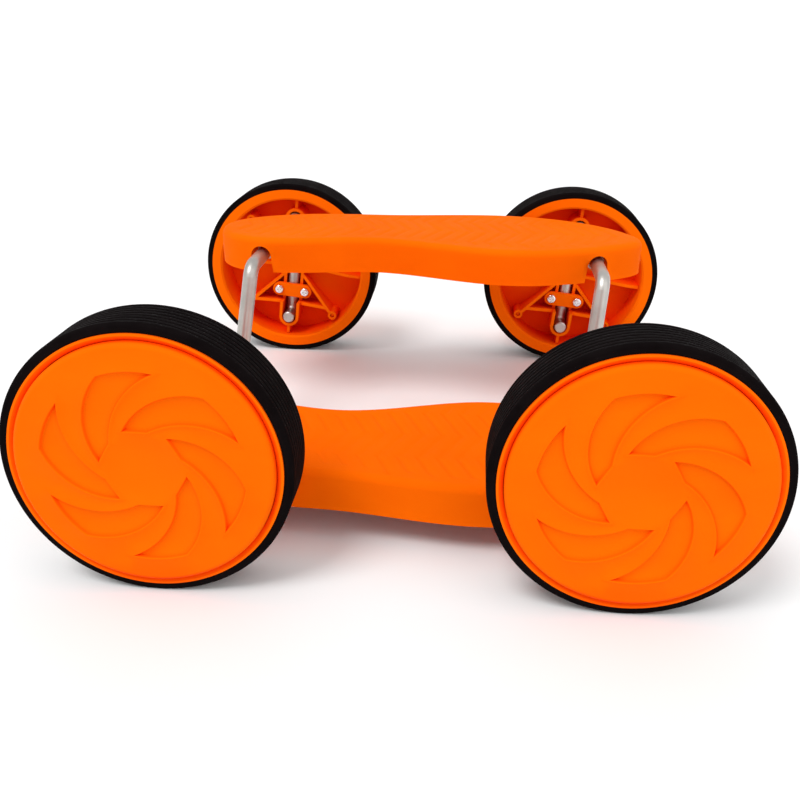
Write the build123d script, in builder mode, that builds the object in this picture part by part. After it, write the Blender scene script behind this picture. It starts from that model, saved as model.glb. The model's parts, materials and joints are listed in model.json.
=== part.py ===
"""Four-wheel pedal roller: two foot boards on two bent cranks between four wheels.

Frame: millimetres, +X is the way the toes point, +Y the left foot's side, +Z up.
The origin is on the floor, under the middle of the four wheels.
Left foot board up, right foot board down, with the cranks leaning a few degrees forward.
"""
from build123d import *
from math import cos, radians, sin
import os

os.makedirs("parts", exist_ok=True)

# ---- whole roller ----
WHEELBASE = 245.0
WHEEL_R = 75.0
RIM_FACE_Y = 169.0          # inner face of each wheel, from the middle plane
CRANK_THROW = 45.0          # axle line to foot board journal
CRANK_LEAN = radians(6.0)   # forward lean of the raised throw at rest

# ---- crank rod ----
ROD_R = 5.0
WEB_Y = 13.0                # where the journal's line meets the slanting web's line
ROD_DEPTH = 20.5            # rod centre line, below the wheel's inner face
TAIL_END_DEPTH = 2.0        # end of the short inward tail, below the wheel's inner face
ROD_END_CHAMFER = 0.8
WEB_BEND_R = 10.0
WHEEL_BEND_R = 12.0
TAIL_BEND_R = 8.0
COLLAR_R = 6.6              # swaged collars that keep the foot board in place sideways
COLLAR_LENGTH = 2.0

# ---- wheel, along its own axis from the inner face outwards ----
HUB_R = 70.0
HUB_WIDTH = 33.0
FLANGE_WIDTH = 3.0
TYRE_SEAT_R = 68.5
DISH_MOUTH_R = 61.5
MOUTH_CHAMFER = 1.5
DISH_R = 60.0
DISH_DEPTH = 25.5
FLOOR = 3.0
CORE_GAP_R = 63.0           # annular gap between the dish wall and the tyre seat
COVER_BORE_R = 66.5
RIM_LIP = 1.2               # flat outer edge of the hub, before it slopes down to the cover
RIM_SLOPE = 1.6
RIB = 2.5
RIB_TOP = 6.0               # depth of the rib edges below the inner face, near the rim
RIB_FULL_R = 50.0           # inside this radius the rib edges slope down to the clamp
CLAMP_WELL_R = 14.0
CHANNEL_HALF = 6.2          # half width of the channel round the rod
CHANNEL_TOP = 4.5           # depth of the channel's walls round the rod's bent ends
PEG_CIRCLE_R = 55.0
PEG_R = 1.7
PEG_GAP = 0.2
PEG_BOSS_R = 3.8
CHORD_RIB = 33.0            # distance of the cross ribs from the wheel's centre

COVER_R = 66.2
COVER_PROUD = 3.0
COVER_EDGE_R = 2.8
COVER_SKIRT = 6.0
SKIRT_GAP = 0.6
BLADES = 6
BLADE_DEPTH = 1.5

TYRE_INNER_EDGE = 0.7
TYRE_OUTER_EDGE = 32.0
TYRE_SHOULDER_R = 2.0
TREAD_GROOVES = 7
TREAD_GROOVE_PITCH = 3.7
TREAD_GROOVE_WIDTH = 1.2
TREAD_GROOVE_DEPTH = 0.7

# ---- clamp plate over the rod, between the wheel's centre and the rod's tail ----
CLAMP_FROM_AXLE = 22.5
CLAMP_SPACING = 23.0
CLAMP_WIDTH = 12.0
CLAMP_TOP = 12.3            # depths below the wheel's inner face
CLAMP_SEAT = 16.5
CLAMP_EDGE_R = 0.8
CLAMP_BOSS_R = 4.0
CLAMP_SCREW_R = 1.5
CLAMP_SCREW_LENGTH = 12.0
CLAMP_HEAD_R = 4.0
HEAD_HEIGHT = 2.4
HEAD_EDGE_R = 1.6
RECESS_WIDTH = 0.9
SCREW_HOLE_GAP = 0.3
PILOT_SPARE = 1.0           # pilot holes are this much deeper than their screws
THREAD_BITE = 0.2           # pilot holes are this much smaller in radius than their screws

# ---- foot board, heights from the journals' axis ----
DECK_TOP = 13.6
SKIRT_BOTTOM = -11.4
WALL = 3.0
DECK_EDGE_R = 5.0
JOURNAL_GAP = 0.05          # running clearance round the journal
SLOT_R = 7.5
SLOT_MOUTH_HALF = 9.0
GRID_RIB = 2.2
GRID_BOTTOM = SKIRT_BOTTOM + 3.0
CROSS_RIB_STEP = 33.0
CROSS_RIBS_EACH_WAY = 3
LONG_RIB_Y = (60.0, 91.0, 122.0)
SADDLE_RIB = 5.0
TREAD_PITCH = 12.0
TREAD_SWING = 13.0          # how far each zigzag runs along the board
TREAD_HALF_WAVE = 32.0
TREAD_FIRST_Y = 22.0
TREAD_LINE = 4.5
TREAD_DEPTH = 0.8
TREAD_MARGIN = 9.0
TREAD_LINES_EACH_WAY = 13
TREAD_CORNERS = 6

# ---- bearing caps under the journals ----
BEARING_Y = 86.0            # middle of the bearing, from the roller's middle plane
BEARING_LENGTH = 44.0
BEARING_WIDTH = 34.0
CAP_PLATE = 3.0
CAP_CORNER_R = 3.0
CAP_HUMP_R = 8.2
CAP_SCREW_X = 12.5
CAP_SCREW_Y = 13.0
CAP_SCREW_R = 1.6
CAP_SCREW_GRIP = 7.6        # length of screw inside the foot board
CAP_BOSS_R = 4.2
CAP_HEAD_R = 3.4
COLLAR_GAP = 0.3
CAP_GAP = 0.5               # room round a cap in the grid of ribs

crank_up = Vector(sin(CRANK_LEAN), 0, cos(CRANK_LEAN))
axle_x = {"front": WHEELBASE / 2, "rear": -WHEELBASE / 2}
side_sign = {"left": 1, "right": -1}


def save(solid, node):
    """Label a finished piece and write it as its own file."""
    solid.label = node
    export_step(solid, f"parts/{node}.step")


def polar(radius, degrees):
    """A point from a radius and an angle."""
    return (radius * cos(radians(degrees)), radius * sin(radians(degrees)))


def wheel_plane(x, side):
    """Wheel frame: x along the crank towards the journal's bend, z outwards from the inner face."""
    return Plane(origin=(x, side * RIM_FACE_Y, WHEEL_R), x_dir=crank_up * side, z_dir=(0, side, 0))


def profile_plane(wheel):
    """Plane through the wheel's axis: x is the radius, y the distance outwards."""
    return Plane(origin=wheel.origin, x_dir=wheel.x_dir, z_dir=wheel.x_dir.cross(wheel.z_dir))


def board_plane(side):
    """Foot board frame: origin midway between its journals, at their height."""
    return Plane(origin=Vector(0, 0, WHEEL_R) + crank_up * (side * CRANK_THROW))


# ---- wheel ----

def make_hub(wheel):
    """Ribbed dish with a tyre seat outside and a channel for the rod across its middle."""
    floor_top = DISH_DEPTH
    floor_back = DISH_DEPTH + FLOOR
    with BuildPart() as hub:
        with BuildSketch(profile_plane(wheel)):
            with BuildLine():
                Polyline(
                    (0, floor_top), (DISH_R, floor_top), (DISH_MOUTH_R, MOUTH_CHAMFER),
                    (DISH_MOUTH_R + MOUTH_CHAMFER, 0),
                    (HUB_R, 0), (HUB_R, FLANGE_WIDTH), (TYRE_SEAT_R, FLANGE_WIDTH),
                    (TYRE_SEAT_R, HUB_WIDTH - FLANGE_WIDTH), (HUB_R, HUB_WIDTH - FLANGE_WIDTH),
                    (HUB_R, HUB_WIDTH), (HUB_R - RIM_LIP, HUB_WIDTH),
                    (COVER_BORE_R, HUB_WIDTH - RIM_SLOPE), (COVER_BORE_R, FLANGE_WIDTH),
                    (CORE_GAP_R, FLANGE_WIDTH), (CORE_GAP_R, floor_back), (0, floor_back),
                    close=True,
                )
            make_face()
        revolve(axis=Axis(wheel.origin, wheel.z_dir))

        channel_ends = 2 * CRANK_THROW
        with BuildSketch(wheel.offset(RIB_TOP)):
            for quarter in (0, 90):
                Rectangle(DISH_R + DISH_MOUTH_R, RIB, rotation=quarter)
            for diagonal in (45, 135):
                Rectangle(2 * PEG_CIRCLE_R, RIB, rotation=diagonal)
            with Locations((CHORD_RIB, 0), (-CHORD_RIB, 0)):
                Rectangle(RIB, 2 * CHORD_RIB)
            with PolarLocations(PEG_CIRCLE_R, 4, start_angle=45):
                Circle(PEG_BOSS_R)
            SlotCenterToCenter(channel_ends, 2 * CHANNEL_HALF, mode=Mode.SUBTRACT)
        extrude(amount=floor_top - RIB_TOP)
        with BuildSketch(profile_plane(wheel)):
            with BuildLine():
                Polyline(
                    (0, 0), (RIB_FULL_R, RIB_TOP), (CLAMP_WELL_R, CLAMP_SEAT), (0, CLAMP_SEAT),
                    close=True,
                )
            make_face()
        revolve(axis=Axis(wheel.origin, wheel.z_dir), mode=Mode.SUBTRACT)

        with BuildSketch(wheel.offset(CLAMP_SEAT)):
            SlotCenterToCenter(channel_ends, 2 * (CHANNEL_HALF + RIB))
            with Locations(*clamp_screw_places()):
                Circle(CLAMP_BOSS_R)
            SlotCenterToCenter(channel_ends, 2 * CHANNEL_HALF, mode=Mode.SUBTRACT)
        extrude(amount=floor_top - CLAMP_SEAT)

        with BuildSketch(wheel.offset(CHANNEL_TOP)):
            SlotCenterToCenter(channel_ends, 2 * (CHANNEL_HALF + RIB))
            SlotCenterToCenter(channel_ends, 2 * CHANNEL_HALF, mode=Mode.SUBTRACT)
            Rectangle(2 * CHORD_RIB - RIB, 4 * CHANNEL_HALF, mode=Mode.SUBTRACT)
        extrude(amount=floor_top - CHANNEL_TOP)

        with BuildSketch(wheel):
            with Locations(*clamp_screw_places()):
                Circle(CLAMP_SCREW_R - THREAD_BITE)
        extrude(amount=CLAMP_TOP + CLAMP_SCREW_LENGTH + PILOT_SPARE, mode=Mode.SUBTRACT)

        with BuildSketch(wheel):
            with PolarLocations(PEG_CIRCLE_R, 4, start_angle=45):
                Circle(PEG_R + PEG_GAP)
        extrude(amount=HUB_WIDTH, mode=Mode.SUBTRACT)
    return hub.part


def clamp_screw_places():
    """The two clamp screws in the wheel's frame, either side of the rod near its tail."""
    return [(-CLAMP_FROM_AXLE, CLAMP_SPACING / 2), (-CLAMP_FROM_AXLE, -CLAMP_SPACING / 2)]


def make_cover(wheel):
    """Outer face with a rounded rim, a skirt, four pegs and the recessed turbine blades."""
    face_top = HUB_WIDTH + COVER_PROUD
    skirt_inner_r = CORE_GAP_R + SKIRT_GAP
    with BuildPart() as cover:
        with BuildSketch(profile_plane(wheel)):
            with BuildLine():
                Line((0, face_top), (COVER_R - COVER_EDGE_R, face_top))
                CenterArc((COVER_R - COVER_EDGE_R, face_top - COVER_EDGE_R), COVER_EDGE_R, 0, 90)
                Polyline(
                    (COVER_R, face_top - COVER_EDGE_R), (COVER_R, HUB_WIDTH - COVER_SKIRT),
                    (skirt_inner_r, HUB_WIDTH - COVER_SKIRT), (skirt_inner_r, HUB_WIDTH),
                    (0, HUB_WIDTH), (0, face_top),
                )
            make_face()
        revolve(axis=Axis(wheel.origin, wheel.z_dir))
        with BuildSketch(wheel.offset(HUB_WIDTH)):
            with PolarLocations(PEG_CIRCLE_R, 4, start_angle=45):
                Circle(PEG_R)
        extrude(amount=RIB_TOP + MOUTH_CHAMFER - HUB_WIDTH)
        with BuildSketch(wheel.offset(face_top)):
            with PolarLocations(0, BLADES, start_angle=30):
                add(turbine_blade())
        extrude(amount=-BLADE_DEPTH, mode=Mode.SUBTRACT)
    return cover.part


def turbine_blade():
    """One blade: its inner tip on the x axis, sweeping clockwise as it widens outwards."""
    inner_tip = polar(22.0, 0)
    outer_corner = polar(52.3, -64)
    outer_tip = polar(52.3, -96)
    root_bend = polar(20.5, -36)
    with BuildSketch() as blade:
        with BuildLine():
            ThreePointArc(inner_tip, polar(37.5, -36), outer_corner)
            ThreePointArc(outer_corner, polar(52.3, -80), outer_tip)
            ThreePointArc(outer_tip, polar(36.0, -70), root_bend)
            ThreePointArc(root_bend, polar(20.3, -18), inner_tip)
        make_face()
    return blade.sketch


def make_tyre(wheel):
    """Rubber ring with a tongue in the hub's seat and fine grooves round the tread."""
    middle = (TYRE_INNER_EDGE + TYRE_OUTER_EDGE) / 2
    with BuildPart() as tyre:
        with BuildSketch(profile_plane(wheel)):
            with Locations(((HUB_R + WHEEL_R) / 2, middle)):
                ring = Rectangle(WHEEL_R - HUB_R, TYRE_OUTER_EDGE - TYRE_INNER_EDGE)
            fillet(ring.vertices().group_by(Axis.X)[-1], radius=TYRE_SHOULDER_R)
            with Locations(((TYRE_SEAT_R + HUB_R) / 2, HUB_WIDTH / 2)):
                Rectangle(HUB_R - TYRE_SEAT_R, HUB_WIDTH - 2 * FLANGE_WIDTH)
            with Locations((WHEEL_R, middle)):
                with GridLocations(0, TREAD_GROOVE_PITCH, 1, TREAD_GROOVES):
                    Rectangle(2 * TREAD_GROOVE_DEPTH, TREAD_GROOVE_WIDTH, mode=Mode.SUBTRACT)
        revolve(axis=Axis(wheel.origin, wheel.z_dir))
    return tyre.part


def make_clamp_plate(wheel):
    """Oval plate with a shallow groove that presses the rod into its channel."""
    with BuildPart() as plate:
        with BuildSketch(wheel.offset(CLAMP_TOP)):
            with Locations((-CLAMP_FROM_AXLE, 0)):
                SlotOverall(CLAMP_SPACING + CLAMP_WIDTH, CLAMP_WIDTH, rotation=90)
        extrude(amount=CLAMP_SEAT - CLAMP_TOP)
        fillet(faces().sort_by(Axis(wheel.origin, wheel.z_dir))[0].edges(), radius=CLAMP_EDGE_R)
        with BuildSketch(wheel):
            with Locations(*clamp_screw_places()):
                Circle(CLAMP_SCREW_R + SCREW_HOLE_GAP)
        extrude(amount=CLAMP_SEAT, mode=Mode.SUBTRACT)
        with BuildSketch(Plane(wheel.origin, x_dir=wheel.y_dir, z_dir=wheel.x_dir)):
            with Locations((0, ROD_DEPTH)):
                Circle(ROD_R)
        extrude(amount=WHEEL_R, both=True, mode=Mode.SUBTRACT)
    return plate.part


def make_screw(seat, head_r, shank_r, shank_length):
    """Pan head screw: the head stands on the seat plane, and the shank goes back through it."""
    head_top = seat.offset(HEAD_HEIGHT)
    with BuildPart() as screw:
        with BuildSketch(seat):
            Circle(head_r)
        extrude(amount=HEAD_HEIGHT)
        fillet(edges().sort_by(Axis(seat.origin, seat.z_dir))[-1], radius=HEAD_EDGE_R)
        with BuildSketch(seat):
            Circle(shank_r)
        extrude(amount=-shank_length)
        with BuildSketch(head_top):
            for turn in (0, 90):
                Rectangle(head_r, RECESS_WIDTH, rotation=turn)
        extrude(amount=-HEAD_HEIGHT / 2, mode=Mode.SUBTRACT)
    return screw.part


def screws_on(plane, places, head_r, shank_r, shank_length):
    """A group of equal screws at places on one plane, heads towards the plane's normal."""
    group = []
    for place in places:
        seat = Plane(plane.from_local_coords(place + (0,)), x_dir=plane.x_dir, z_dir=plane.z_dir)
        group.append(make_screw(seat, head_r, shank_r, shank_length))
    return Compound(children=group)


def clamp_screws(wheel):
    """The two screws of a clamp plate, their heads facing inwards."""
    inwards = Plane(wheel.offset(CLAMP_TOP).origin, x_dir=wheel.x_dir, z_dir=-wheel.z_dir)
    return screws_on(
        inwards, clamp_screw_places(), CLAMP_HEAD_R, CLAMP_SCREW_R, CLAMP_SCREW_LENGTH)


for end, x in axle_x.items():
    for hand, side in side_sign.items():
        wheel = wheel_plane(x, side)
        save(make_hub(wheel), f"{end}_{hand}_hub")
        save(make_cover(wheel), f"{end}_{hand}_cover")
        save(make_tyre(wheel), f"{end}_{hand}_tyre")
        save(make_clamp_plate(wheel), f"{end}_{hand}_clamp_plate")
        save(clamp_screws(wheel), f"{end}_{hand}_clamp_screws")


# ---- crank rods ----

def make_rod(x):
    """One bent steel rod from wheel to wheel, with two journals and a slanting web between."""
    run_y = RIM_FACE_Y + ROD_DEPTH
    tail_y = RIM_FACE_Y + TAIL_END_DEPTH
    crank_plane = Plane(
        origin=(x, 0, WHEEL_R), x_dir=(0, 1, 0), z_dir=Vector(0, 1, 0).cross(crank_up))
    with BuildPart() as rod:
        with BuildLine(crank_plane) as path:
            FilletPolyline(
                (tail_y, -CRANK_THROW), (run_y, -CRANK_THROW), (run_y, CRANK_THROW),
                (WEB_Y, CRANK_THROW), (-WEB_Y, -CRANK_THROW),
                (-run_y, -CRANK_THROW), (-run_y, CRANK_THROW), (-tail_y, CRANK_THROW),
                radius=[TAIL_BEND_R, WHEEL_BEND_R, WEB_BEND_R, WEB_BEND_R, WHEEL_BEND_R, TAIL_BEND_R],
            )
        with BuildSketch(Plane(path.line @ 0, z_dir=path.line % 0)):
            Circle(ROD_R)
        sweep(path=path.line)
        end_faces = faces().filter_by(GeomType.PLANE)
        chamfer(end_faces.edges(), length=ROD_END_CHAMFER)
        for side in side_sign.values():
            journal = Plane(
                crank_plane.from_local_coords((side * BEARING_Y, side * CRANK_THROW, 0)),
                x_dir=(1, 0, 0), z_dir=(0, 1, 0))
            collar_start = BEARING_LENGTH / 2 + COLLAR_GAP
            for direction in (1, -1):
                with BuildSketch(journal.offset(direction * collar_start)):
                    Circle(COLLAR_R)
                extrude(amount=direction * COLLAR_LENGTH)
    return rod.part


for end, x in axle_x.items():
    save(make_rod(x), f"{end}_crank_rod")


# ---- foot boards ----

def board_outline(side, inset=0.0):
    """Footprint outline: broad ball forward, narrower heel, arch waist on the inner side.

    An inset moves each point inwards, square to the outline.
    """
    left_points = [
        (157.0, 88.0), (118.0, 134.0), (52.0, 152.5), (-30.0, 142.0), (-108.0, 133.0),
        (-160.0, 88.0), (-145.0, 52.0), (-104.0, 41.5), (-42.0, 51.5), (45.0, 29.5), (128.0, 50.0),
    ]
    points = [Vector(x, side * y) for x, y in left_points]
    with BuildSketch() as outline:
        with BuildLine():
            edge = Spline(points, periodic=True, mode=Mode.PRIVATE)
            tangents = [edge.tangent_at(edge.param_at_point(point)) for point in points]
            inwards = [Vector(0, 0, side).cross(tangent) for tangent in tangents]
            Spline([point + inset * step for point, step in zip(points, inwards)], periodic=True)
        make_face()
    return outline.sketch


def journal_places(side):
    """Middle of each journal bay in the foot board's frame."""
    return [(WHEELBASE / 2, side * BEARING_Y), (-WHEELBASE / 2, side * BEARING_Y)]


def tread_line(side, start_x):
    """One zigzag band across the foot board."""
    fore = []
    aft = []
    for corner in range(TREAD_CORNERS):
        swing = TREAD_SWING if corner % 2 == 0 else 0.0
        y = side * (TREAD_FIRST_Y + corner * TREAD_HALF_WAVE)
        fore.append((start_x + swing + TREAD_LINE / 2, y))
        aft.append((start_x + swing - TREAD_LINE / 2, y))
    with BuildSketch() as band:
        with BuildLine():
            Polyline(*fore, *reversed(aft), close=True)
        make_face()
    return band.sketch


def make_board(side):
    """Hollow foot board, open below, with grid ribs, journal bays and a zigzag tread."""
    board = board_plane(side)
    deck_under = DECK_TOP - WALL
    with BuildPart() as shell:
        with BuildSketch(board.offset(SKIRT_BOTTOM)):
            add(board_outline(side))
        extrude(amount=DECK_TOP - SKIRT_BOTTOM)
        fillet(faces().sort_by(Axis.Z)[-1].edges(), radius=DECK_EDGE_R)
        with BuildSketch(board.offset(SKIRT_BOTTOM)):
            add(board_outline(side, WALL))
        extrude(amount=deck_under - SKIRT_BOTTOM, mode=Mode.SUBTRACT)

        with BuildSketch(board.offset(GRID_BOTTOM)):
            with Locations((0, side * BEARING_Y)):
                with GridLocations(CROSS_RIB_STEP, 0, 2 * CROSS_RIBS_EACH_WAY + 1, 1):
                    Rectangle(GRID_RIB, WHEELBASE)
            with Locations(*journal_places(side)):
                with GridLocations(2 * SLOT_MOUTH_HALF + GRID_RIB, 0, 2, 1):
                    Rectangle(GRID_RIB, WHEELBASE)
            with Locations(*[(0, side * y) for y in LONG_RIB_Y]):
                Rectangle(2 * WHEELBASE, GRID_RIB)
            add(board_outline(side, WALL / 2), mode=Mode.INTERSECT)
        extrude(amount=deck_under - GRID_BOTTOM)

        journal_section = Plane(origin=board.origin, x_dir=(1, 0, 0), z_dir=(0, -1, 0))
        with BuildSketch(journal_section):
            with Locations((WHEELBASE / 2, 0), (-WHEELBASE / 2, 0)):
                Circle(SLOT_R)
                Polygon(
                    (-SLOT_R, 0), (SLOT_R, 0), (SLOT_MOUTH_HALF, SKIRT_BOTTOM - 1),
                    (-SLOT_MOUTH_HALF, SKIRT_BOTTOM - 1), align=None)
        extrude(amount=WHEELBASE, both=True, mode=Mode.SUBTRACT)

        with BuildSketch(board):
            with Locations(*journal_places(side)):
                Rectangle(BEARING_WIDTH + 2 * CAP_GAP, BEARING_LENGTH + 2 * CAP_GAP)
        extrude(amount=SKIRT_BOTTOM, mode=Mode.SUBTRACT)

        with BuildSketch(board):
            with Locations(*journal_places(side)):
                with GridLocations(0, (BEARING_LENGTH - SADDLE_RIB) / 2, 1, 3):
                    Rectangle(BEARING_WIDTH, SADDLE_RIB)
                with GridLocations(2 * CAP_SCREW_X, 2 * CAP_SCREW_Y, 2, 2):
                    Circle(CAP_BOSS_R)
        extrude(amount=deck_under)
        with BuildSketch(board):
            with Locations(*journal_places(side)):
                with GridLocations(2 * CAP_SCREW_X, 2 * CAP_SCREW_Y, 2, 2):
                    Circle(CAP_SCREW_R - THREAD_BITE)
        extrude(amount=CAP_SCREW_GRIP + PILOT_SPARE, mode=Mode.SUBTRACT)
        with BuildSketch(journal_section):
            with Locations((WHEELBASE / 2, 0), (-WHEELBASE / 2, 0)):
                Circle(ROD_R + JOURNAL_GAP)
        extrude(amount=WHEELBASE, both=True, mode=Mode.SUBTRACT)

        with BuildSketch(board.offset(DECK_TOP)):
            for line in range(-TREAD_LINES_EACH_WAY, TREAD_LINES_EACH_WAY + 1):
                add(tread_line(side, line * TREAD_PITCH - TREAD_SWING / 2))
            add(board_outline(side, TREAD_MARGIN), mode=Mode.INTERSECT)
        extrude(amount=-TREAD_DEPTH, mode=Mode.SUBTRACT)
    return shell.part


def make_bearing_cap(plane):
    """Plate with a half-round hump that holds a journal up in its bay."""
    with BuildPart() as cap:
        with BuildSketch(plane):
            RectangleRounded(BEARING_WIDTH, BEARING_LENGTH, radius=CAP_CORNER_R)
        extrude(amount=-CAP_PLATE)
        section = Plane(origin=plane.origin, x_dir=(1, 0, 0), z_dir=(0, -1, 0))
        with BuildSketch(section):
            Circle(CAP_HUMP_R)
            with Locations((0, CAP_HUMP_R)):
                Rectangle(4 * CAP_HUMP_R, 2 * CAP_HUMP_R, mode=Mode.SUBTRACT)
        extrude(amount=BEARING_LENGTH / 2, both=True)
        with BuildSketch(section):
            Circle(ROD_R + JOURNAL_GAP)
        extrude(amount=BEARING_LENGTH, both=True, mode=Mode.SUBTRACT)
        with BuildSketch(plane):
            with GridLocations(2 * CAP_SCREW_X, 2 * CAP_SCREW_Y, 2, 2):
                Circle(CAP_SCREW_R + SCREW_HOLE_GAP)
        extrude(amount=-CAP_PLATE, mode=Mode.SUBTRACT)
    return cap.part


def cap_screws(plane):
    """The four screws of a bearing cap, driven up from below."""
    downwards = Plane(plane.offset(-CAP_PLATE).origin, x_dir=(1, 0, 0), z_dir=(0, 0, -1))
    corners = [(sx * CAP_SCREW_X, sy * CAP_SCREW_Y) for sx in (1, -1) for sy in (1, -1)]
    return screws_on(downwards, corners, CAP_HEAD_R, CAP_SCREW_R, CAP_PLATE + CAP_SCREW_GRIP)


for hand, side in side_sign.items():
    save(make_board(side), f"{hand}_foot_board")
    for end, place in zip(("front", "rear"), journal_places(side)):
        bay = Plane(board_plane(side).from_local_coords(place + (0,)), x_dir=(1, 0, 0), z_dir=(0, 0, 1))
        save(make_bearing_cap(bay), f"{hand}_{end}_bearing_cap")
        save(cap_screws(bay), f"{hand}_{end}_cap_screws")
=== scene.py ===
import json
from math import cos, pi, radians, sin

import bmesh
import bpy
from mathutils import Matrix, Vector
from mathutils.geometry import delaunay_2d_cdt
from mathutils.kdtree import KDTree


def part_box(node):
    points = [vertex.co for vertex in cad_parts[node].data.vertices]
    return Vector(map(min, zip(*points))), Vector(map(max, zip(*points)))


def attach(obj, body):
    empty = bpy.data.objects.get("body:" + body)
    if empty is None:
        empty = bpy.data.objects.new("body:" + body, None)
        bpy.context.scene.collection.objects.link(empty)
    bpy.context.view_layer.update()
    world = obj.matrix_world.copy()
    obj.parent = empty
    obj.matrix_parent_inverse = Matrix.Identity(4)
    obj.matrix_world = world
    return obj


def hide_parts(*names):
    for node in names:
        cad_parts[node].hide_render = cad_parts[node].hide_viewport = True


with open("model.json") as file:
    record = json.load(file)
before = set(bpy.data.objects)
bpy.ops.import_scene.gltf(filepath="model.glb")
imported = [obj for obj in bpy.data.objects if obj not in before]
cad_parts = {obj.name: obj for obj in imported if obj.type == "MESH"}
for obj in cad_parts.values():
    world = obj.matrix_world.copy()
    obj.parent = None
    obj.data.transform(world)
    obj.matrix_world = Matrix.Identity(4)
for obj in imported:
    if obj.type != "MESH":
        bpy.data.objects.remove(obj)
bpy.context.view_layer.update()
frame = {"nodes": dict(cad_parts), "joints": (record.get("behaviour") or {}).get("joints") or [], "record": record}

NODES = frame["nodes"]
ENDS = ("front", "rear")
HANDS = ("left", "right")

# ---- camera, at the photograph's viewing angle ----
CAMERA_PLACE = Vector((0.0354, -0.5843, 0.2849))
CAMERA_PITCH = 0.412        # downwards, radians
CAMERA_YAW = 0.054          # towards -X
CAMERA_ROLL = 0.021         # the right side up
LENS_MM = 39.8
SENSOR_MM = 36.0
SHIFT_X = -0.026


def make_camera():
    """A camera at its place, looking along +Y but turned by the yaw, the pitch and the roll."""
    level_right = Vector((cos(CAMERA_YAW), sin(CAMERA_YAW), 0))
    level_ahead = Vector((-sin(CAMERA_YAW), cos(CAMERA_YAW), 0))
    ahead = cos(CAMERA_PITCH) * level_ahead - sin(CAMERA_PITCH) * Vector((0, 0, 1))
    raised = sin(CAMERA_PITCH) * level_ahead + cos(CAMERA_PITCH) * Vector((0, 0, 1))
    right = cos(CAMERA_ROLL) * level_right + sin(CAMERA_ROLL) * raised
    up = cos(CAMERA_ROLL) * raised - sin(CAMERA_ROLL) * level_right
    data = bpy.data.cameras.new("camera")
    data.lens = LENS_MM
    data.sensor_width = SENSOR_MM
    data.shift_x = SHIFT_X
    camera = bpy.data.objects.new("camera", data)
    bpy.context.scene.collection.objects.link(camera)
    axes = Matrix((right, up, -ahead)).transposed().to_4x4()
    camera.matrix_world = Matrix.Translation(CAMERA_PLACE) @ axes
    bpy.context.scene.camera = camera


make_camera()
# ---- room: a pale floor that curves up far behind, and soft lights ----
FLOOR_HALF_WIDTH = 40.0
FLOOR_NEAR = -40.0
SWEEP_START = 30.0
SWEEP_R = 8.0
SWEEP_STEPS = 16


def link(name, mesh):
    """A new object of this mesh in the scene."""
    piece = bpy.data.objects.new(name, mesh)
    bpy.context.scene.collection.objects.link(piece)
    return piece


def make_floor(material):
    """One sheet: flat floor, then a quarter round up to a backdrop."""
    profile = [(FLOOR_NEAR, 0.0)]
    for step in range(SWEEP_STEPS + 1):
        turn = step / SWEEP_STEPS * pi / 2
        profile.append((SWEEP_START + SWEEP_R * sin(turn), SWEEP_R * (1 - cos(turn))))
    profile.append((SWEEP_START + SWEEP_R, 3 * SWEEP_R))
    verts = [(x, y, z) for y, z in profile for x in (-FLOOR_HALF_WIDTH, FLOOR_HALF_WIDTH)]
    faces = [(2 * i, 2 * i + 1, 2 * i + 3, 2 * i + 2) for i in range(len(profile) - 1)]
    mesh = bpy.data.meshes.new("floor")
    mesh.from_pydata(verts, [], faces)
    mesh.shade_smooth()
    mesh.materials.append(material)
    floor = link("floor", mesh)


def soft_sun(name, source, spread, strength):
    """An even light over the whole room, coming from the direction of a point."""
    data = bpy.data.lights.new(name, "SUN")
    data.energy = strength
    data.angle = radians(spread)
    lamp = bpy.data.objects.new(name, data)
    bpy.context.scene.collection.objects.link(lamp)
    lamp.location = source
    lamp.rotation_euler = (-Vector(source)).to_track_quat("-Z", "Y").to_euler()


def make_lights():
    """A soft key from the camera's upper left, a weaker fill from the right, and a pale world."""
    soft_sun("key", (-1.0, -1.3, 2.6), 25, 1.5)
    soft_sun("fill", (1.8, -1.4, 1.4), 60, 0.45)
    world = bpy.data.worlds.new("studio")
    world.use_nodes = True
    background = world.node_tree.nodes["Background"]
    background.inputs["Color"].default_value = (1.0, 1.0, 1.0, 1.0)
    background.inputs["Strength"].default_value = 0.8
    bpy.context.scene.world = world
    bpy.context.scene.view_settings.view_transform = "Standard"


# ---- materials ----

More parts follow.
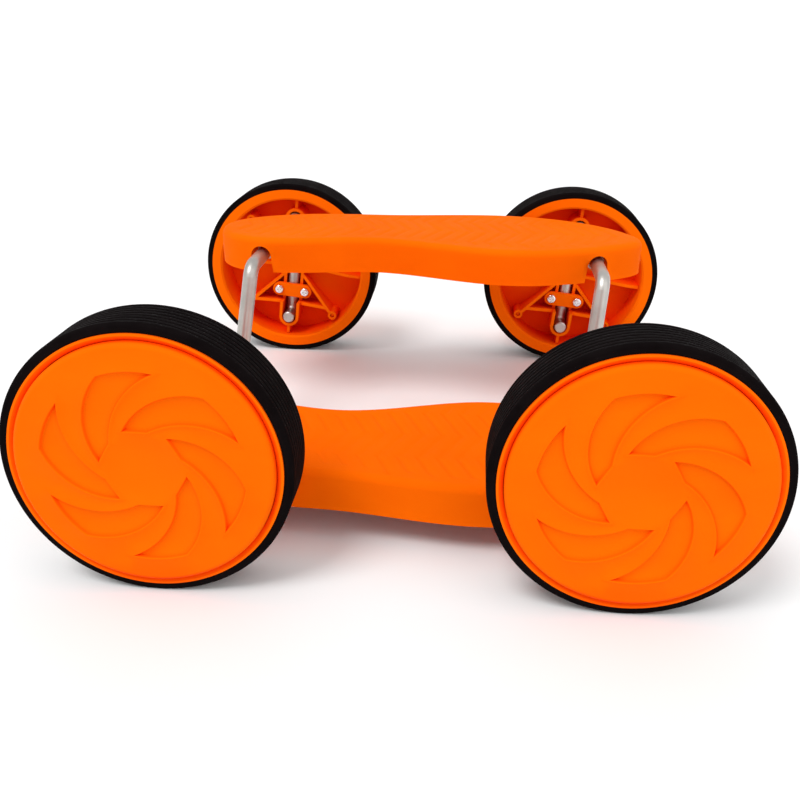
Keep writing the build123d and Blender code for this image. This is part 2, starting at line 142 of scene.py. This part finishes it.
class Nodes:
    """Short calls for building one material's node tree around its Principled shader."""

    def __init__(self, name):
        self.material = bpy.data.materials.new(name)
        self.material.use_nodes = True
        self.tree = self.material.node_tree
        self.shader = self.tree.nodes["Principled BSDF"]
        self.coords = self.node("ShaderNodeTexCoord").outputs["Object"]

    def node(self, kind, **settings):
        made = self.tree.nodes.new(kind)
        for key, value in settings.items():
            setattr(made, key, value)
        return made

    def plug(self, source, target):
        self.tree.links.new(source, target)

    def set(self, **values):
        """Plain values on the shader's own sockets, spaces written as underscores."""
        for key, value in values.items():
            self.shader.inputs[key.replace("_", " ")].default_value = value

    def stretch(self, scale):
        """Object coordinates scaled differently along each axis."""
        mapping = self.node("ShaderNodeMapping")
        mapping.inputs["Scale"].default_value = scale
        self.plug(self.coords, mapping.inputs["Vector"])
        return mapping.outputs["Vector"]

    def noise(self, scale, detail=4.0, rough=0.55, coords=None):
        made = self.node("ShaderNodeTexNoise")
        made.inputs["Scale"].default_value = scale
        made.inputs["Detail"].default_value = detail
        made.inputs["Roughness"].default_value = rough
        self.plug(coords or self.coords, made.inputs["Vector"])
        return made.outputs["Fac"]

    def remap(self, value, from_low, from_high, to_low, to_high):
        made = self.node("ShaderNodeMapRange")
        for key, number in (("From Min", from_low), ("From Max", from_high),
                            ("To Min", to_low), ("To Max", to_high)):
            made.inputs[key].default_value = number
        self.plug(value, made.inputs["Value"])
        return made.outputs["Result"]

    def maths(self, operation, first, second):
        made = self.node("ShaderNodeMath", operation=operation)
        for socket, value in zip(made.inputs, (first, second)):
            if isinstance(value, (int, float)):
                socket.default_value = value
            else:
                self.plug(value, socket)
        return made.outputs["Value"]

    def mix(self, factor, first, second):
        """Colour mix; each colour is a tuple or a socket."""
        made = self.node("ShaderNodeMix", data_type="RGBA")
        self.plug(factor, made.inputs["Factor"])
        for socket, value in ((made.inputs[6], first), (made.inputs[7], second)):
            if isinstance(value, tuple):
                socket.default_value = (*value, 1.0)
            else:
                self.plug(value, socket)
        return made.outputs[2]

    def edge_wear(self, low=0.52, high=0.62):
        """1 on sharp outer edges, 0 elsewhere."""
        geometry = self.node("ShaderNodeNewGeometry")
        return self.remap(geometry.outputs["Pointiness"], low, high, 0.0, 1.0)

    def bump(self, *layers):
        """Stacks bump layers of (height, strength, distance in metres)."""
        normal = None
        for height, strength, distance in layers:
            made = self.node("ShaderNodeBump")
            made.inputs["Strength"].default_value = strength
            made.inputs["Distance"].default_value = distance
            self.plug(height, made.inputs["Height"])
            if normal is not None:
                self.plug(normal, made.inputs["Normal"])
            normal = made.outputs["Normal"]
        self.plug(normal, self.shader.inputs["Normal"])


def orange_plastic(name, base, shade, painted_shade_colour, open_from, grain_scale, grain_depth, gloss):
    """Moulded polypropylene: flow marks, a fine grain, rubbed edges, and painted shade: a darker, redder colour
    mixed in by ambient occlusion in corners and hollows.
    """
    n = Nodes(name)
    flow = n.remap(n.noise(14, 5, 0.6, n.stretch((1.0, 1.0, 2.2))), 0.3, 0.7, 0.0, 1.0)
    body = n.mix(flow, base, shade)
    # painted shade: ambient occlusion darkens and reddens the colour in corners and hollows
    corners = n.node("ShaderNodeAmbientOcclusion", samples=8)
    corners.inputs["Distance"].default_value = 0.03
    body = n.mix(n.remap(corners.outputs["AO"], 0.15, open_from, 0.0, 1.0), painted_shade_colour, body)
    pale = tuple(min(1.0, c * 1.12) for c in base)
    colour = n.mix(n.maths("MULTIPLY", n.edge_wear(), 0.55), body, pale)
    n.plug(colour, n.shader.inputs["Base Color"])
    blotch = n.noise(55, 6, 0.6)
    n.plug(n.remap(blotch, 0.3, 0.7, gloss - 0.05, gloss + 0.09), n.shader.inputs["Roughness"])
    n.bump((n.noise(grain_scale, 3, 0.6), 0.35, grain_depth), (n.noise(35, 2, 0.5), 0.12, 0.0006))
    n.set(IOR=1.25, Specular_IOR_Level=0.05, Specular_Tint=(1.0, 0.30, 0.04, 1.0))
    return n.material


def tyre_rubber():
    """Black rubber with a dull bloom, fine mould texture and greyer rubbed edges."""
    n = Nodes("tyre_rubber")
    bloom = n.remap(n.noise(40, 6, 0.65), 0.35, 0.7, 0.0, 1.0)
    body = n.mix(bloom, (0.0030, 0.0018, 0.0020), (0.0062, 0.0042, 0.0044))
    colour = n.mix(n.maths("MULTIPLY", n.edge_wear(), 0.6), body, (0.014, 0.012, 0.012))
    n.plug(colour, n.shader.inputs["Base Color"])
    n.plug(n.remap(n.noise(90, 5, 0.6), 0.3, 0.7, 0.62, 0.82), n.shader.inputs["Roughness"])
    n.bump((n.noise(1400, 3, 0.7), 0.3, 0.0001), (n.noise(260, 4, 0.6), 0.2, 0.0002))
    n.set(IOR=1.35, Specular_IOR_Level=0.03)
    return n.material


def rod_steel():
    """Drawn steel bar: fine lines along its length, slight stains and a satin sheen."""
    n = Nodes("rod_steel")
    lines = n.noise(1.0, 4, 0.7, n.stretch((2400.0, 60.0, 2400.0)))
    stain = n.remap(n.noise(38, 5, 0.6), 0.4, 0.75, 0.0, 1.0)
    colour = n.mix(stain, (0.56, 0.535, 0.50), (0.40, 0.38, 0.355))
    n.plug(colour, n.shader.inputs["Base Color"])
    rough = n.maths("ADD", n.remap(lines, 0.3, 0.7, 0.32, 0.46), n.maths("MULTIPLY", stain, 0.08))
    n.plug(rough, n.shader.inputs["Roughness"])
    n.bump((lines, 0.18, 0.00006))
    n.set(Metallic=1.0)
    return n.material


def screw_steel():
    """Bright zinc plate with faint turning marks and duller patches here and there."""
    n = Nodes("screw_steel")
    marks = n.noise(900, 4, 0.6)
    dull = n.remap(n.noise(300, 4, 0.6), 0.4, 0.7, 0.0, 1.0)
    n.plug(n.mix(dull, (0.86, 0.86, 0.88), (0.68, 0.68, 0.70)), n.shader.inputs["Base Color"])
    n.plug(n.remap(marks, 0.3, 0.7, 0.12, 0.26), n.shader.inputs["Roughness"])
    n.bump((marks, 0.15, 0.00004))
    n.set(Metallic=1.0)
    return n.material


def floor_paint():
    """Matt pale paper with a barely visible mottling."""
    n = Nodes("floor_paint")
    mottle = n.remap(n.noise(3, 4, 0.5), 0.3, 0.7, 0.0, 1.0)
    n.plug(n.mix(mottle, (0.86, 0.86, 0.86), (0.90, 0.90, 0.90)), n.shader.inputs["Base Color"])
    n.plug(n.remap(mottle, 0.0, 1.0, 0.75, 0.9), n.shader.inputs["Roughness"])
    return n.material


MATERIALS = {
    # for each orange plastic the third colour is painted shade, darker and redder, for corners and hollows; the
    # number after it is the occlusion level where that painted shade ends
    "wheel_plastic": orange_plastic(
        "wheel_plastic", (0.93, 0.142, 0.0012), (0.89, 0.126, 0.0010), (0.90, 0.026, 0.0010),
        0.88, 900, 0.00006, 0.44),
    "board_plastic": orange_plastic(
        "board_plastic", (0.93, 0.140, 0.0012), (0.89, 0.122, 0.0010), (0.86, 0.040, 0.0012),
        0.6, 700, 0.0001, 0.68),
    "tyre_rubber": tyre_rubber(),
    "rod_steel": rod_steel(),
    "screw_steel": screw_steel(),
}


def paint_nodes():
    """Gives each CAD node the material of its slot in the record."""
    for part in frame["record"]["subparts"]:
        mesh = NODES[part["node"]].data
        mesh.materials.clear()
        mesh.materials.append(MATERIALS[part["material_slot"]])


# ---- wheel pieces made here: covers and tyres ----
MM = 0.001
RING_STEPS = 192
COVER_EDGE_R = 2.8 * MM
COVER_SKIRT = 6 * MM            # how far the cover's rim goes into the hub
COVER_SKIRT_WALL = 2.4 * MM
COVER_PROUD = 3 * MM            # the face stands out this far past the hub
PEG_R = 1.7 * MM
PEG_CIRCLE_R = 55 * MM
WELD = 1e-6                     # vertices nearer than this are one
SMOOTH_ANGLE = 38               # degrees; sharper edges stay sharp
CORNER_ANGLE = 25               # degrees; a blade outline turns more than this at its corners
BLADES = 6
BLADE_DEPTH = 1.3 * MM
BLADE_SLOPE = 1.3 * MM          # width of the rounded wall round each blade
BLADE_LIP = 0.6 * MM            # height of the soft lip outside that wall
BLADE_LIP_FOOT = 1.2 * MM       # how far outside the blade the lip starts
BLADE_LIP_CREST = 0.25 * MM     # and where it is highest
BLADE_WALL_STEPS = 5
BLADE_OUTER_R = 52.3 * MM
BLADE_FIRST_ANGLE = 30
COVER_EDGE_STEPS = 8
PEGS = 4
PEG_FIRST_ANGLE = 45
PEG_SIDES = 16
PEG_TOP = 7.5 * MM              # where the pegs end, from the hub's inner face
PEG_DOME = 0.5 * MM             # height of the peg's bevelled tip
PEG_TIP_SHARE = 0.7             # width of that tip against the peg's
TREAD_GROOVES = 7
TREAD_PITCH = 3.7 * MM
TREAD_GROOVE_HALF = 0.75 * MM
TREAD_GROOVE_DEPTH = 0.7 * MM
TYRE_SHOULDER_R = 2.2 * MM
TYRE_SHOULDER_STEPS = 6
TYRE_BEVEL = 0.3 * MM           # small bevel where the tyre meets the hub's rim
TYRE_BEVEL_WIDTH = 0.5 * MM
TONGUE_INNER = 2.3 * MM         # from each edge of the tyre to its tongue
TONGUE_OUTER = 2.0 * MM
# rounded section of one groove: place across its half width, share of its depth
GROOVE_SECTION = ((-1.0, 0.0), (-0.82, 0.12), (-0.6, 0.75), (-0.4, 1.0),
                  (0.4, 1.0), (0.6, 0.75), (0.82, 0.12), (1.0, 0.0))
TYRE_SEAT_R = 68.5 * MM
HUB_R = 70 * MM


def joint_place(name):
    """A joint's place in the record."""
    for joint in frame["joints"]:
        if joint["name"] == name:
            return Vector(joint["pos_m"])


def wheel_frame(end, hand):
    """Matrix of a wheel: x along the crank towards the rod's bend, z outwards from the hub's inner face."""
    side = 1 if hand == "left" else -1
    low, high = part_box(f"{end}_{hand}_hub")
    centre = (low + high) / 2
    crank = joint_place(f"{end}_crank_turn") - centre
    crank.y = 0
    x_axis = crank.normalized() * side
    z_axis = Vector((0, side, 0))
    y_axis = z_axis.cross(x_axis)
    inner_face = Vector((centre.x, low.y if side > 0 else high.y, centre.z))
    axes = Matrix((x_axis, y_axis, z_axis)).transposed().to_4x4()
    return Matrix.Translation(inner_face) @ axes


def smooth_step(value):
    clamped = min(1.0, max(0.0, value))
    return clamped * clamped * (3 - 2 * clamped)


def polar(radius, degrees):
    return Vector((radius * cos(radians(degrees)), radius * sin(radians(degrees))))


def arc(start, through, finish, steps):
    """Points from start to just before finish on the circle through all three."""
    a, b = through - start, finish - start
    d = 2 * (a.x * b.y - a.y * b.x)
    centre = start + Vector((
        (b.y * a.length_squared - a.y * b.length_squared) / d,
        (a.x * b.length_squared - b.x * a.length_squared) / d))
    spoke = start - centre
    turn = spoke.angle_signed(finish - centre) * -1
    way = spoke.angle_signed(through - centre) * -1
    if turn * way < 0:
        turn -= 2 * pi if turn > 0 else -2 * pi
    spots = []
    for step in range(steps):
        swing = turn * step / steps
        spots.append(centre + Vector((
            spoke.x * cos(swing) - spoke.y * sin(swing), spoke.x * sin(swing) + spoke.y * cos(swing))))
    return spots


def turbine_blade():
    """Outline of one blade: inner tip on the x axis, sweeping clockwise as it widens outwards."""
    inner_tip = polar(22.0 * MM, 0)
    outer_corner = polar(BLADE_OUTER_R, -64)
    outer_tip = polar(BLADE_OUTER_R, -96)
    root_bend = polar(20.5 * MM, -36)
    return (
        arc(inner_tip, polar(37.5 * MM, -36), outer_corner, 26)
        + arc(outer_corner, polar(BLADE_OUTER_R, -80), outer_tip, 14)
        + arc(outer_tip, polar(36.0 * MM, -70), root_bend, 26)
        + arc(root_bend, polar(20.3 * MM, -18), inner_tip, 8)
    )


def inset_loop(loop, distance):
    """The loop moved inwards with mitred corners; points that would cross over go to the corner."""
    count = len(loop)
    area = sum(loop[i - 1].x * loop[i].y - loop[i].x * loop[i - 1].y for i in range(count))
    inward = 1 if area > 0 else -1
    moved = []
    for i in range(count):
        before = (loop[i] - loop[i - 1]).normalized()
        after = (loop[(i + 1) % count] - loop[i]).normalized()
        normal = Vector((-(before + after).y, (before + after).x)).normalized() * inward
        open_cos = max(0.2, normal.dot(Vector((-after.y, after.x)) * inward))
        moved.append(loop[i] + normal * distance / open_cos)
    corners = [
        i for i in range(count)
        if (loop[i] - loop[i - 1]).angle(loop[(i + 1) % count] - loop[i]) > radians(CORNER_ANGLE)]
    for corner in corners:
        reach = (moved[corner] - loop[corner]).length
        for way in (1, -1):
            i = (corner + way) % count
            while (loop[i] - loop[corner]).length < reach * 0.99:
                moved[i] = moved[corner].copy()
                i = (i + way) % count
    return moved


def turned(loop, degrees):
    swing = radians(degrees)
    return [Vector((p.x * cos(swing) - p.y * sin(swing), p.x * sin(swing) + p.y * cos(swing))) for p in loop]


def add_loop(mesh, loop, height):
    """Vertices of a flat loop at one height."""
    return [mesh.verts.new((p.x, p.y, height)) for p in loop]


def bridge(mesh, first, second):
    """Quads between two equal loops."""
    count = len(first)
    for i in range(count):
        j = (i + 1) % count
        mesh.faces.new((first[i], first[j], second[j], second[i]))


def fill_flat(mesh, loops, height):
    """Triangles over the flat region inside the first loop and outside the others."""
    spots = [Vector((v.co.x, v.co.y)) for loop in loops for v in loop]
    corners = [v for loop in loops for v in loop]
    edges = []
    start = 0
    for loop in loops:
        count = len(loop)
        edges += [(start + i, start + (i + 1) % count) for i in range(count)]
        start += count
    result = delaunay_2d_cdt(spots, edges, [], 1, 1e-9)
    made = [corners[origin[0]] if origin else mesh.verts.new((spot.x, spot.y, height))
            for spot, origin in zip(result[0], result[3])]
    for face in result[2]:
        middle = sum((result[0][i] for i in face), Vector((0, 0))) / len(face)
        if not any(inside(middle, loop) for loop in loops[1:]):
            mesh.faces.new([made[i] for i in face])


def inside(spot, loop):
    """Whether a point lies within a loop of vertices."""
    crossings = False
    for i in range(len(loop)):
        a, b = loop[i - 1].co, loop[i].co
        if (a.y > spot.y) != (b.y > spot.y):
            if spot.x < (b.x - a.x) * (spot.y - a.y) / (b.y - a.y) + a.x:
                crossings = not crossings
    return crossings


def ring_loop(radius):
    return [polar(radius, 360 * step / RING_STEPS) for step in range(RING_STEPS)]


def finish_piece(mesh, name, matrix, material_slot, body, node):
    """Turns a bmesh into a smooth-shaded piece that stands for a CAD node."""
    bmesh.ops.remove_doubles(mesh, verts=mesh.verts, dist=WELD)
    bmesh.ops.recalc_face_normals(mesh, faces=mesh.faces)
    mesh.transform(matrix)
    data = bpy.data.meshes.new(name)
    mesh.to_mesh(data)
    mesh.free()
    data.shade_smooth()
    data.set_sharp_from_angle(angle=radians(SMOOTH_ANGLE))
    data.materials.append(MATERIALS[material_slot])
    piece = link(name, data)
    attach(piece, body)
    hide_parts(node)


def make_cover(end, hand):
    """Outer wheel face: rounded rim, six sunk blades with soft walls, and four pegs behind."""
    node = f"{end}_{hand}_cover"
    low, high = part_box(node)
    hub_low, hub_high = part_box(f"{end}_{hand}_hub")
    radius = (high.z - low.z) / 2
    hub_width = hub_high.y - hub_low.y
    top = hub_width + COVER_PROUD
    mesh = bmesh.new()

    rim = []
    for step in range(COVER_EDGE_STEPS + 1):
        turn = pi / 2 * (1 - step / COVER_EDGE_STEPS)
        rim.append((radius - COVER_EDGE_R * (1 - cos(turn)), top - COVER_EDGE_R * (1 - sin(turn))))
    skirt_r = radius - COVER_SKIRT_WALL
    rim += [(radius, hub_width - COVER_SKIRT), (skirt_r, hub_width - COVER_SKIRT), (skirt_r, hub_width)]
    rings = [add_loop(mesh, ring_loop(r), height) for r, height in rim]
    for outer, inner in zip(rings, rings[1:]):
        bridge(mesh, outer, inner)
    fill_flat(mesh, [rings[-1]], hub_width)

    holes = []
    for blade in range(BLADES):
        outline = turned(turbine_blade(), BLADE_FIRST_ANGLE + 360 * blade / BLADES)
        lip_foot = inset_loop(outline, -BLADE_LIP_FOOT)
        lip_top = inset_loop(outline, -BLADE_LIP_CREST)
        loops = [add_loop(mesh, lip_foot, top), add_loop(mesh, lip_top, top + BLADE_LIP)]
        for step in range(BLADE_WALL_STEPS + 1):
            part = step / BLADE_WALL_STEPS
            height = top + BLADE_LIP - (BLADE_DEPTH + BLADE_LIP) * smooth_step(part)
            loops.append(add_loop(mesh, inset_loop(outline, BLADE_SLOPE * part), height))
        for outer, inner in zip(loops, loops[1:]):
            bridge(mesh, outer, inner)
        bmesh.ops.remove_doubles(mesh, verts=loops[-1], dist=WELD)
        floor = [v for v in loops[-1] if v.is_valid]
        fill_flat(mesh, [floor], top - BLADE_DEPTH)
        holes.append(loops[0])
    fill_flat(mesh, [rings[0]] + holes, top)

    for peg in range(PEGS):
        centre = polar(PEG_CIRCLE_R, PEG_FIRST_ANGLE + 360 * peg / PEGS)
        circle = [polar(PEG_R, 360 * step / PEG_SIDES) + centre for step in range(PEG_SIDES)]
        tip = [(p - centre) * PEG_TIP_SHARE + centre for p in circle]
        loops = [add_loop(mesh, circle, hub_width), add_loop(mesh, circle, PEG_TOP + PEG_DOME),
                 add_loop(mesh, tip, PEG_TOP)]
        for first, second in zip(loops, loops[1:]):
            bridge(mesh, first, second)
        fill_flat(mesh, [loops[-1]], PEG_TOP)
    finish_piece(mesh, f"{node}_face", wheel_frame(end, hand), "wheel_plastic", f"{end}_crank", node)


def tread_profile(radius, inner_edge, outer_edge):
    """Half section of a tyre as (radius, height) points, with rounded grooves across the tread."""
    points = [(TYRE_SEAT_R, inner_edge + TONGUE_INNER), (HUB_R, inner_edge + TONGUE_INNER)]
    points.append((HUB_R, inner_edge + TYRE_BEVEL))
    points.append((HUB_R + TYRE_BEVEL_WIDTH, inner_edge))
    for step in range(TYRE_SHOULDER_STEPS + 1):
        turn = pi / 2 * step / TYRE_SHOULDER_STEPS
        points.append((radius - TYRE_SHOULDER_R * (1 - sin(turn)),
                       inner_edge + TYRE_SHOULDER_R * (1 - cos(turn))))
    middle = (inner_edge + outer_edge) / 2
    for groove in range(TREAD_GROOVES):
        centre = middle + (groove - (TREAD_GROOVES - 1) / 2) * TREAD_PITCH
        for across, depth in GROOVE_SECTION:
            points.append((radius - depth * TREAD_GROOVE_DEPTH, centre + across * TREAD_GROOVE_HALF))
    for step in range(TYRE_SHOULDER_STEPS + 1):
        turn = pi / 2 * (1 - step / TYRE_SHOULDER_STEPS)
        points.append((radius - TYRE_SHOULDER_R * (1 - sin(turn)),
                       outer_edge - TYRE_SHOULDER_R * (1 - cos(turn))))
    points.append((HUB_R + TYRE_BEVEL_WIDTH, outer_edge))
    points.append((HUB_R, outer_edge - TYRE_BEVEL))
    points.append((HUB_R, outer_edge - TONGUE_OUTER))
    points.append((TYRE_SEAT_R, outer_edge - TONGUE_OUTER))
    return points


def make_tyre(end, hand):
    """Rubber ring with round-edged grooves, soft shoulders and a tongue in the hub's seat."""
    node = f"{end}_{hand}_tyre"
    low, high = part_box(node)
    hub_low, hub_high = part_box(f"{end}_{hand}_hub")
    if hand == "left":
        inner_edge, outer_edge = low.y - hub_low.y, high.y - hub_low.y
    else:
        inner_edge, outer_edge = hub_high.y - high.y, hub_high.y - low.y
    mesh = bmesh.new()
    profile = tread_profile((high.z - low.z) / 2, inner_edge, outer_edge)
    rings = [add_loop(mesh, ring_loop(r), height) for r, height in profile]
    for first, second in zip(rings, rings[1:] + rings[:1]):
        bridge(mesh, first, second)
    finish_piece(mesh, f"{node}_tread", wheel_frame(end, hand), "tyre_rubber", f"{end}_crank", node)


for end in ENDS:
    for hand in HANDS:
        make_cover(end, hand)
        make_tyre(end, hand)


# ---- foot boards: the CAD shell with a softly moulded tread ----
DECK_GRID = 1.3 * MM
EDGE_SHARE = 0.8                # grid points keep this share of the grid from the deck's edge
TREAD_DEPTH = 0.8 * MM
TREAD_PITCH_X = 12.0 * MM
TREAD_SWING = 13.0 * MM
TREAD_HALF_WAVE = 32.0 * MM
TREAD_FIRST_Y = 22.0 * MM
TREAD_HALF_WIDTH = 3.4 * MM
TREAD_MARGIN = 8.0 * MM
TREAD_FADE = 3 * MM             # past the margin, the grooves die out over this width
FLAT = 0.00002


def tread_drop(x, y, edge_distance):
    """How far the deck sinks at a point: rounded zigzag grooves that die out near the edge."""
    wave = (abs(y) - TREAD_FIRST_Y) / TREAD_HALF_WAVE % 2.0
    swing = TREAD_SWING * abs(1 - wave)
    lane = ((x - swing + TREAD_SWING / 2) / TREAD_PITCH_X + 0.5) % 1.0 - 0.5
    across = abs(lane) * TREAD_PITCH_X / TREAD_HALF_WIDTH
    groove = 0.5 + 0.5 * cos(pi * min(1.0, across))
    return TREAD_DEPTH * groove * smooth_step((edge_distance - TREAD_MARGIN) / TREAD_FADE + 1)


def is_deck_face(face, top, grooves):
    """Whether a face belongs to the CAD deck's flat top or its straight-sided grooves."""
    levels = [v.co.z for v in face.verts]
    at_top = [abs(z - top) < FLAT for z in levels]
    at_grooves = [abs(z - grooves) < FLAT for z in levels]
    flat = abs(face.normal.z) > 0.999 or abs(face.normal.z) < 0.01
    return flat and all(a or b for a, b in zip(at_top, at_grooves))


def open_loop(mesh, top):
    """The vertices round the largest open edge at the deck's height, in order."""
    following = {}
    for edge in mesh.edges:
        if edge.is_boundary and all(abs(v.co.z - top) < FLAT for v in edge.verts):
            for v in edge.verts:
                following.setdefault(v, []).append(edge.other_vert(v))
    loop = [next(iter(following))]
    previous = None
    while True:
        step = next(v for v in following[loop[-1]] if v is not previous)
        previous = loop[-1]
        if step is loop[0]:
            return loop
        loop.append(step)


def make_board(hand):
    """Foot board whose flat CAD deck is replaced by a finely meshed, rounded zigzag tread."""
    node = f"{hand}_foot_board"
    low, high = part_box(node)
    top = high.z
    centre_x = (joint_place("front_crank_turn").x + joint_place("rear_crank_turn").x) / 2
    mesh = bmesh.new()
    mesh.from_mesh(NODES[node].data)
    bmesh.ops.remove_doubles(mesh, verts=mesh.verts, dist=WELD)
    mesh.normal_update()
    deck = [f for f in mesh.faces if is_deck_face(f, top, top - TREAD_DEPTH)]
    bmesh.ops.delete(mesh, geom=deck, context="FACES")
    loop = open_loop(mesh, top)
    rim = KDTree(len(loop))
    for i, v in enumerate(loop):
        rim.insert(v.co, i)
    rim.balance()

    spots = [Vector((v.co.x, v.co.y)) for v in loop]
    count = len(loop)
    edges = [(i, (i + 1) % count) for i in range(count)]
    for column in range(int((high.x - low.x) / DECK_GRID)):
        for row in range(int((high.y - low.y) / DECK_GRID)):
            spot = Vector((low.x + (column + 0.5) * DECK_GRID, low.y + (row + 0.5) * DECK_GRID))
            distance = rim.find((spot.x, spot.y, top))[2]
            if distance > DECK_GRID * EDGE_SHARE and inside(spot, loop):
                spots.append(spot)
    result = delaunay_2d_cdt(spots, edges, [], 1, 1e-9)
    made = []
    for spot, origin in zip(result[0], result[3]):
        if origin and origin[0] < count:
            made.append(loop[origin[0]])
        else:
            distance = rim.find((spot.x, spot.y, top))[2]
            drop = tread_drop(spot.x - centre_x, spot.y, distance)
            made.append(mesh.verts.new((spot.x, spot.y, top - drop)))
    for face in result[2]:
        mesh.faces.new([made[i] for i in face])
    finish_piece(mesh, f"{node}_shell", Matrix(), "board_plastic", f"{hand}_pedal", node)


for hand in HANDS:
    make_board(hand)

make_floor(floor_paint())
make_lights()
paint_nodes()
